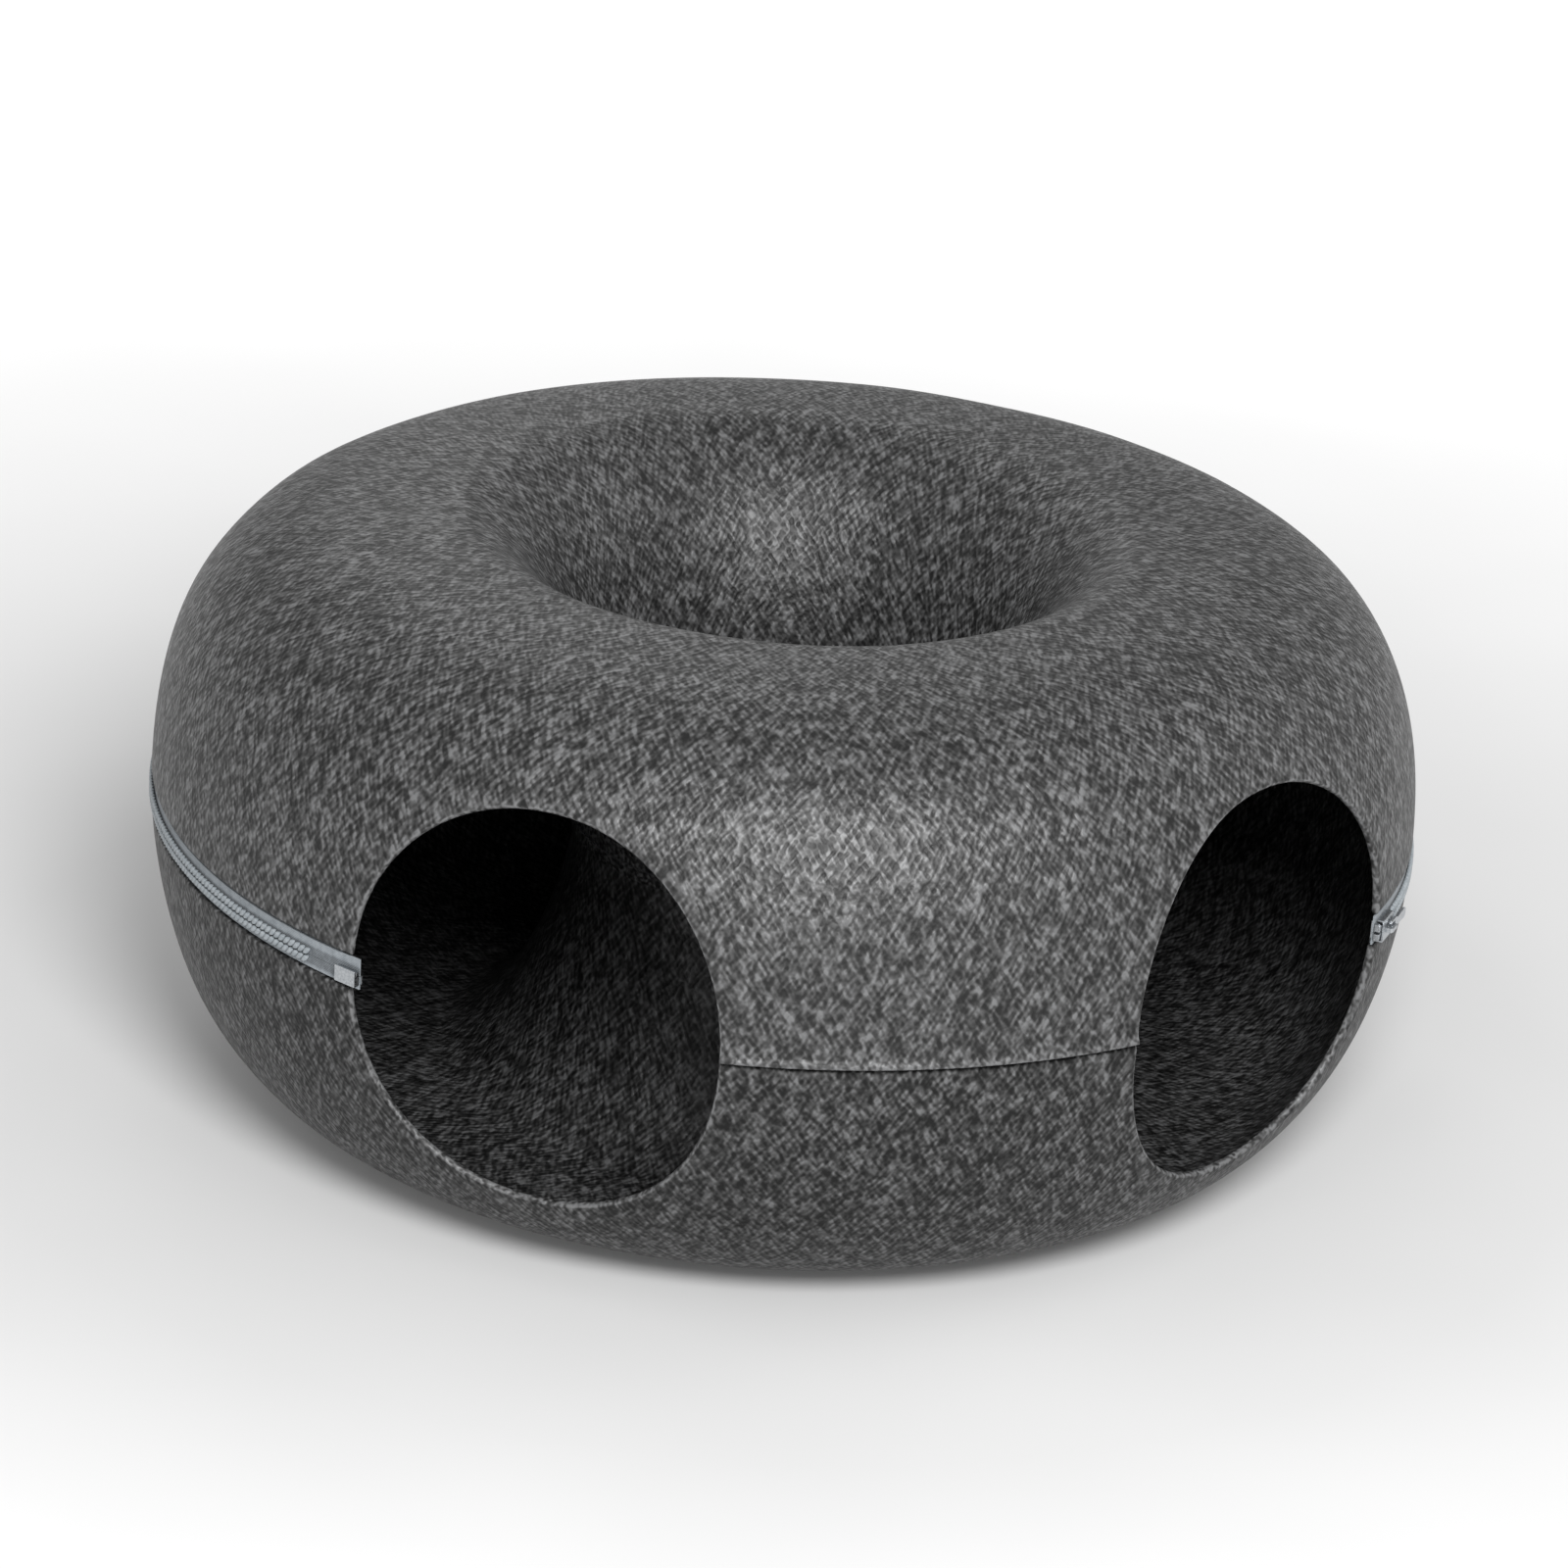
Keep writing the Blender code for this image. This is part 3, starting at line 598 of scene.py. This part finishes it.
def strip(name, lane, azimuths, section_at):
    """A band along a zipper, from its section at each azimuth, with the weave's place kept on its points."""
    points, weave, faces = [], [], []
    for azimuth in azimuths:
        section = section_at(azimuth)
        across = 0.0
        for place, before in zip(section, section[:1] + section):
            across += math.dist(before, place)
            points.append(zip_point(lane, azimuth, *place))
            weave.append((azimuth * lane.radius, across, 0.0))
    size = len(section)
    for step in range(len(azimuths) - 1):
        for corner in range(size):
            following = (corner + 1) % size
            low, high = step * size, (step + 1) * size
            faces.append([low + corner, high + corner, high + following, low + following])
    faces.append(list(range(size)))
    faces.append([len(points) - 1 - corner for corner in range(size)])
    return new_mesh(name, points, faces, {"weave": weave})


def tape(lane, side):
    """A woven strip beside the chain, which steps back behind the felt where it is sewn."""
    turn = TAPE_END_TURN / lane.radius
    azimuths = evenly(lane.sewn_from, lane.sewn_to, math.ceil((lane.sewn_to - lane.sewn_from) / TAPE_COLUMN))
    if lane.start < lane.sewn_from:
        azimuths = [lane.start, lane.sewn_from - turn] + azimuths + [lane.sewn_to + turn, lane.finish]
    name = f"{lane.name}_tape_{WORD[side]}"
    item = strip(name, lane, azimuths, lambda azimuth: tape_section(lane, side, azimuth))
    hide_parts(f"{lane.name}_zip_tape_{WORD[side]}")
    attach(item, BODY[side])
    return item


def facing(lane, side):
    """A felt band that covers the zipper's back on the tunnel's side."""
    depths = FACING_DEPTH, FACING_DEPTH - FACING_THICKNESS
    front = [(depths[0], FACING_NEAR), (depths[0], FACING_FAR)]
    section = front + [(depths[1], FACING_FAR), (depths[1], FACING_NEAR)]
    overlap = FACING_OVERLAP / lane.radius
    start, stop = lane.start - overlap, lane.finish + overlap
    azimuths = evenly(start, stop, math.ceil((stop - start) / TAPE_COLUMN))
    turned = [(depth, side * rise) for depth, rise in section]
    item = strip(f"{lane.name}_facing_{WORD[side]}", lane, azimuths, lambda azimuth: turned)
    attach(item, BODY[side])
    return item


def tooth(lane, side, along, points, faces):
    """One bent loop of the coil: a blunt rounded bar from the chain's middle to its outer edge."""
    first = len(points)
    middle_depth = (COIL_PROUD + COIL_BACK) / 2
    half_depth = (COIL_PROUD - COIL_BACK) / 2
    near, far = COIL_NEAR / 2, COIL_FAR

    def put(share, turn, size):
        rise = side * mixed(near, far, share)
        across = TOOTH_HALF_WIDTH * size * math.cos(turn)
        depth = middle_depth + half_depth * size * math.sin(turn)
        azimuth = (along + TOOTH_SLANT * rise + across) / lane.radius
        points.append(zip_point(lane, azimuth, depth, rise))

    put(0, 0, 0)
    for share in TOOTH_SECTIONS:
        size = (1 - abs(2 * share - 1) ** TOOTH_BLUNTNESS) ** (1 / TOOTH_BLUNTNESS)
        for corner in range(TOOTH_SIDES):
            put(share, math.tau * corner / TOOTH_SIDES, size)
    put(1, 0, 0)
    tip = len(points) - 1
    for corner in range(TOOTH_SIDES):
        following = (corner + 1) % TOOTH_SIDES
        faces.append([first, first + 1 + corner, first + 1 + following])
        for section in range(len(TOOTH_SECTIONS) - 1):
            low = first + 1 + section * TOOTH_SIDES
            high = low + TOOTH_SIDES
            faces.append([low + corner, high + corner, high + following, low + following])
        low = first + 1 + (len(TOOTH_SECTIONS) - 1) * TOOTH_SIDES
        faces.append([low + corner, tip, low + following])


def teeth(lane, side):
    """One side's row of teeth. The upper row leaves the slider's parking places free."""
    start, stop = (lane.closed_end, lane.open_start) if side > 0 else (lane.stops, lane.open_start)
    points, faces = [], []
    shift = TOOTH_SHIFT * side * TOOTH_PITCH
    room = TOOTH_HALF_WIDTH + TOOTH_SLANT * COIL_FAR
    along = math.ceil((start * lane.radius + room) / TOOTH_PITCH) * TOOTH_PITCH
    while along + shift < stop * lane.radius - room:
        tooth(lane, side, along + shift, points, faces)
        along += TOOTH_PITCH
    item = new_mesh(f"{lane.name}_teeth_{WORD[side]}", points, faces)
    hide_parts(f"{lane.name}_zip_coil_{WORD[side]}")
    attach(item, BODY[side])
    return item


def tube(path, radius, sides, points, faces):
    """Adds a round closed tube along a path of points, with pointed ends."""
    first = len(points)
    count = len(path)
    for place, centre in enumerate(path):
        along = (path[min(place + 1, count - 1)] - path[max(place - 1, 0)]).normalized()
        across = along.cross(Vector((0, 0, 1)))
        if across.length < TUBE_UPRIGHT:
            across = along.cross(Vector((1, 0, 0)))
        across.normalize()
        up = across.cross(along)
        size = radius if 0 < place < count - 1 else radius * TUBE_END_SHARE
        for corner in range(sides):
            turn = math.tau * corner / sides
            points.append(centre + across * (size * math.cos(turn)) + up * (size * math.sin(turn)))
    for place in range(count - 1):
        low = first + place * sides
        high = low + sides
        for corner in range(sides):
            following = (corner + 1) % sides
            faces.append([low + corner, low + following, high + following, high + corner])
    faces.append([first + corner for corner in range(sides)][::-1])
    faces.append([first + (count - 1) * sides + corner for corner in range(sides)])


def stitches(lane, side):
    """The row of stitches that holds a tape to the felt, on the tunnel's side."""
    rise = side * (ZIP_EDGE[lane.name, side] + THREAD_SETBACK)
    top = SEWN_DEPTH - TAPE_THICKNESS if lane is OUTER_ZIP else FACING_DEPTH - FACING_THICKNESS
    inset = THREAD_END_INSET / lane.radius
    pitch = STITCH_PITCH / lane.radius
    points, faces = [], []
    count = int((lane.sewn_to - lane.sewn_from - 2 * inset) / pitch)
    for number in range(count):
        start = lane.sewn_from + inset + number * pitch
        path = []
        for share, sink in STITCH_PATH:
            depth = top + sink * THREAD_RADIUS
            path.append(zip_point(lane, start + share * STITCH_SHARE * pitch, depth, rise))
        tube(path, THREAD_RADIUS, STITCH_SIDES, points, faces)
    item = new_mesh(f"{lane.name}_stitches_{WORD[side]}", points, faces)
    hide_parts(f"{lane.name}_zip_thread_{WORD[side]}")
    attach(item, BODY[side])
    return item


def seam_stitches():
    """The zigzag thread that joins the two halves along the front, on the tunnel's side."""
    radius = OUTER_RADIUS + SEAM_THREAD_DEPTH
    reach = ENTRANCE_NEAR_EDGE - SEAM_END_INSET / OUTER_RADIUS
    count = 2 * round(reach * radius / SEAM_STITCH_PITCH)
    path = []
    for number, azimuth in enumerate(evenly(-reach, reach, count)):
        rise = SEAM_STITCH_HALF_HEIGHT * (-1) ** number
        path.append(on_ring(radius, azimuth, rise))
    rounded = []
    for before, after in zip(path, path[1:]):
        rounded += [before.lerp(after, share) for share in SEAM_LEG_SHARES]
    points, faces = [], []
    tube(rounded, THREAD_RADIUS, SEAM_THREAD_SIDES, points, faces)
    item = new_mesh("seam_stitches", points, faces)
    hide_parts("hinge_seam_thread")
    return item


def bend_at_hinge(item):
    """Bakes a piece of the front seam's transform into its mesh."""
    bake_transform(item)


class Surface:
    """A node material under construction."""

    def __init__(self, name):
        self.material = bpy.data.materials.new(name)
        self.material.use_nodes = True
        self.tree = self.material.node_tree
        self.shader = self.tree.nodes["Principled BSDF"]

    def set(self, **values):
        for label, value in values.items():
            self.feed(self.shader.inputs[label.replace("_", " ").title()], value)

    def feed(self, socket, value):
        if isinstance(value, bpy.types.NodeSocket):
            self.tree.links.new(value, socket)
        elif isinstance(value, tuple) and len(value) == 3 and socket.type == "RGBA":
            socket.default_value = (*value, 1.0)
        else:
            socket.default_value = value

    def add(self, kind, settings=None, **inputs):
        node = self.tree.nodes.new("ShaderNode" + kind)
        for label, value in (settings or {}).items():
            setattr(node, label, value)
        for label, value in inputs.items():
            socket = node.inputs[int(label[1:])] if label[0] == "i" and label[1:].isdigit() else None
            self.feed(socket or node.inputs[label.replace("_", " ").title()], value)
        return node

    def attribute(self, name):
        return self.add("Attribute", {"attribute_name": name})

    def math(self, operation, first, second):
        return self.add("Math", {"operation": operation}, i0=first, i1=second).outputs[0]

    def spread(self, value, low, high, to_low, to_high):
        """Maps low..high to to_low..to_high, clamped."""
        node = self.add("MapRange", None, i0=value, i1=low, i2=high, i3=to_low, i4=to_high)
        return node.outputs[0]

    def noise(self, vector, scale, detail):
        return self.add("TexNoise", None, Vector=vector, Scale=scale, Detail=detail).outputs[0]

    def smeared(self, place, way, scale):
        """Noise smeared along a way: the mean of samples that lie on both sides of the place."""
        total = 0.0
        for step in SMEAR_STEPS:
            moved = self.add("VectorMath", {"operation": "MULTIPLY_ADD"}, i0=way, i1=(step,) * 3, i2=place)
            total = self.math("ADD", self.noise(moved.outputs[0], scale, 0.0), total)
        return self.math("DIVIDE", total, len(SMEAR_STEPS))

    def stretched(self, vector, direction, long_scale, short_scale):
        """The vector turned so that its X runs along the direction, and scaled to give streaks along it."""
        turn = Vector((1, 0, 0)).rotation_difference(Vector(direction)).inverted().to_euler()
        turned = self.add("Mapping", None, Vector=vector, Rotation=tuple(turn))
        scale = (long_scale, short_scale, short_scale)
        return self.add("Mapping", None, Vector=turned.outputs[0], Scale=scale).outputs[0]

    def ramp(self, value, *stops):
        node = self.add("ValToRGB", None, i0=value)
        ramp = node.color_ramp
        while len(ramp.elements) < len(stops):
            ramp.elements.new(0.5)
        for element, (place, colour) in zip(ramp.elements, stops):
            element.position = place
            element.color = (*colour, 1.0)
        return node.outputs[0]

    def bump(self, height, distance, strength):
        node = self.add("Bump", None, Strength=strength, Distance=distance, Height=height)
        self.tree.links.new(node.outputs[0], self.shader.inputs["Normal"])


def felt_surface():
    felt = Surface("grey_heathered_felt")
    place = felt.add("TexCoord").outputs["Object"]
    tone = 0.0
    for lay, shift in LAY_SHIFTS.items():
        moved = felt.add("VectorMath", {"operation": "ADD"}, i0=place, i1=shift).outputs[0]
        fibres = felt.smeared(moved, felt.attribute(lay).outputs["Vector"], FIBRE_SCALE)
        tone = felt.math("ADD", felt.spread(fibres, *FIBRE_TONE), tone)
    grain = felt.spread(felt.noise(place, FELT_GRAIN_SCALE, 1.0), *FELT_GRAIN_TONE)
    clouds = felt.spread(felt.noise(place, FELT_CLOUD_SCALE, 0.0), *FELT_CLOUD_TONE)
    tone = felt.math("ADD", felt.math("ADD", grain, clouds), tone)
    # Pale cut edges, and a painted highlight and painted shade along the seam and on the lower half, shift
    # the felt's colour
    wear = felt.attribute("wear").outputs["Fac"]
    tone_with_paleness_and_painted_light = felt.math("ADD", tone, felt.math("MULTIPLY", wear, FELT_PALENESS_AND_PAINTED_LIGHT_TONE))
    colour = felt.ramp(tone_with_paleness_and_painted_light, *FELT_SHADES)
    felt.set(base_color=colour, roughness=felt.spread(tone, *FELT_ROUGHNESS))
    # Painted shade also dulls the felt's shine in the seam's groove and on the lower half
    shine = felt.math("MULTIPLY", felt.spread(tone, *FELT_SHINE), felt.spread(wear, *FELT_PAINTED_SHADE_DULLING))
    felt.feed(felt.shader.inputs["Specular IOR Level"], shine)
    felt.bump(tone, FELT_BUMP, 1.0)
    return felt.material


def tape_surface():
    tape_cloth = Surface("woven_zip_tape")
    weave = tape_cloth.attribute("weave").outputs["Vector"]
    ribs = {"wave_type": "BANDS", "bands_direction": "DIAGONAL"}
    flipped = tape_cloth.add("Mapping", None, Vector=weave, Scale=(-1.0, 1.0, 1.0)).outputs[0]
    size = {"Scale": RIB_SCALE, "Distortion": RIB_DISTORTION}
    rising = tape_cloth.add("TexWave", ribs, Vector=weave, **size).outputs["Fac"]
    falling = tape_cloth.add("TexWave", ribs, Vector=flipped, **size).outputs["Fac"]
    threads = tape_cloth.math("MULTIPLY", rising, falling)
    shade = tape_cloth.noise(weave, TAPE_SHADE_SCALE, 3.0)
    tone = tape_cloth.math("ADD", tape_cloth.math("MULTIPLY", threads, RIB_TONE), shade)
    # A painted shade on the tape just past the teeth's outer ends, where it folds against the chain
    across = tape_cloth.add("SeparateXYZ", None, Vector=weave).outputs["Y"]
    painted_shade = tape_cloth.spread(across, COIL_FAR, COIL_FAR + TAPE_PAINTED_SHADE_WIDTH, TAPE_PAINTED_SHADE_TONE, 0.0)
    colour = tape_cloth.ramp(tape_cloth.math("ADD", tone, painted_shade), *TAPE_SHADES)
    tape_cloth.set(base_color=colour, roughness=0.85, sheen_weight=0.1)
    tape_cloth.bump(threads, TAPE_BUMP, 0.7)
    return tape_cloth.material


def nylon_surface():
    nylon = Surface("zip_teeth_nylon")
    place = nylon.add("TexCoord").outputs["Object"]
    shade = nylon.noise(place, NYLON_SHADE_SCALE, 3.0)
    nylon.set(base_color=nylon.ramp(shade, *NYLON_SHADES), roughness=nylon.spread(shade, *NYLON_ROUGHNESS))
    nylon.bump(nylon.noise(place, NYLON_GRAIN_SCALE, 2.0), NYLON_BUMP, 0.5)
    return nylon.material


def thread_surface():
    thread = Surface("grey_sewing_thread")
    place = thread.add("TexCoord").outputs["Object"]
    twist = thread.noise(thread.stretched(place, THREAD_TWIST_WAY, *THREAD_TWIST_SCALES), 1.0, 2.0)
    thread.set(base_color=thread.ramp(twist, *THREAD_SHADES), roughness=0.8, sheen_weight=0.2)
    thread.bump(twist, THREAD_BUMP, 0.8)
    return thread.material


def metal_surface():
    metal = Surface("satin_plated_metal")
    place = metal.add("TexCoord").outputs["Object"]
    cast = metal.noise(place, METAL_CAST_SCALE, 3.0)
    tone_with_paleness_and_painted_light = metal.noise(metal.stretched(place, METAL_BRUSH_WAY, *METAL_BRUSH_SCALES), 1.0, 2.0)
    metal.set(base_color=metal.ramp(cast, *METAL_SHADES), metallic=1.0)
    metal.set(roughness=metal.spread(tone_with_paleness_and_painted_light, *METAL_ROUGHNESS))
    metal.bump(metal.math("ADD", cast, tone_with_paleness_and_painted_light), METAL_BUMP, 0.5)
    return metal.material


def dress(items, surface):
    for item in items:
        item.data.materials.clear()
        item.data.materials.append(surface)


def bevel_metal(item):
    """Rounds a metal fitting's edges without touching its mesh."""
    weld = item.modifiers.new("weld", "WELD")
    weld.merge_threshold = WELD_DISTANCE
    bevel = item.modifiers.new("bevel", "BEVEL")
    bevel.width = BEVEL_WIDTH
    bevel.segments = BEVEL_SEGMENTS
    bevel.limit_method = "ANGLE"
    bevel.angle_limit = BEVEL_ANGLE
    bevel.harden_normals = True


def make_felt():
    pieces = [facing(INNER_ZIP, side) for side in (1, -1)]
    for side in (1, -1):
        skin = Skin(side)
        body = felt_piece(f"{WORD[side]}_felt", skin, "felt")
        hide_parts(f"{WORD[side]}_shell")
        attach(body, BODY[side])
        edge = felt_piece(f"{WORD[side]}_seam_edge", skin, "seam_edge")
        bend_at_hinge(edge)
        pieces += [body, edge]
    dress(pieces, felt_surface())


def make_zippers():
    lanes = (OUTER_ZIP, INNER_ZIP)
    both = (1, -1)
    dress([tape(lane, side) for lane in lanes for side in both], tape_surface())
    dress([teeth(lane, side) for lane in lanes for side in both], nylon_surface())
    seam = seam_stitches()
    bend_at_hinge(seam)
    dress([seam] + [stitches(lane, side) for lane in lanes for side in both], thread_surface())
    metal = metal_surface()
    for lane in lanes:
        for word in ("slider", "pull", "box", "pin", "stop_upper", "stop_lower"):
            node = frame["nodes"][f"{lane.name}_zip_{word}"]
            dress([node], metal)
            bevel_metal(node)


def make_camera():
    azimuth, elevation = CAMERA_AZIMUTH, CAMERA_ELEVATION
    back = Vector((
        math.sin(azimuth) * math.cos(elevation),
        -math.cos(azimuth) * math.cos(elevation),
        math.sin(elevation),
    ))
    camera = bpy.data.objects.new("camera", bpy.data.cameras.new("camera"))
    bpy.context.collection.objects.link(camera)
    look = (-back).to_track_quat("-Z", "Y").to_matrix().to_4x4()
    place = Matrix.Translation(CAMERA_TARGET + back * CAMERA_DISTANCE)
    camera.matrix_world = place @ look @ Matrix.Rotation(CAMERA_ROLL, 4, "Z")
    camera.data.sensor_width = SENSOR_WIDTH
    camera.data.lens = FOCAL_PIXELS / IMAGE_SIDE * SENSOR_WIDTH
    camera.data.shift_x, camera.data.shift_y = (shift / IMAGE_SIDE for shift in IMAGE_SHIFT_PIXELS)
    bpy.context.scene.camera = camera


def make_stage():
    turns = evenly(0, math.tau, FLOOR_SIDES)[:-1]
    points = [Vector((FLOOR_RADIUS * math.cos(turn), FLOOR_RADIUS * math.sin(turn), 0)) for turn in turns]
    floor = new_mesh("floor", points, [list(range(FLOOR_SIDES))])
    pale = Surface("pale_floor")
    place = pale.add("TexCoord").outputs["Object"]
    shade = pale.noise(place, FLOOR_SHADE_SCALE, 2.0)
    pale.set(base_color=pale.ramp(shade, *FLOOR_SHADES), roughness=0.8)
    reach = pale.add("VectorMath", {"operation": "LENGTH"}, i0=place).outputs["Value"]
    pale.set(emission_color=(1.0, 1.0, 1.0), emission_strength=pale.spread(reach, *FLOOR_GLOW))
    dress([floor], pale.material)


def make_light(name, azimuth, elevation, power):
    """A soft round light that shines on the object from there."""
    turn, climb = math.radians(azimuth), math.radians(elevation)
    way = Vector((math.sin(turn) * math.cos(climb), -math.cos(turn) * math.cos(climb), math.sin(climb)))
    light = bpy.data.lights.new(name, "AREA")
    light.shape = "ELLIPSE"
    light.size = light.size_y = LIGHT_SIZE
    light.energy = power
    item = bpy.data.objects.new(name, light)
    item.location = CAMERA_TARGET + way * LIGHT_DISTANCE
    item.rotation_euler = (CAMERA_TARGET - item.location).to_track_quat("-Z", "Y").to_euler()
    bpy.context.collection.objects.link(item)


def make_sky():
    world = bpy.data.worlds.new("studio")
    bpy.context.scene.world = world
    world.use_nodes = True
    background = world.node_tree.nodes["Background"]
    background.inputs["Color"].default_value = (1, 1, 1, 1)
    background.inputs["Strength"].default_value = SKY_STRENGTH
    bpy.context.scene.view_settings.view_transform = "Standard"


make_felt()
make_zippers()
make_camera()
make_stage()
for name, (azimuth, elevation, power) in LIGHTS.items():
    make_light(name, azimuth, elevation, power)
make_sky()
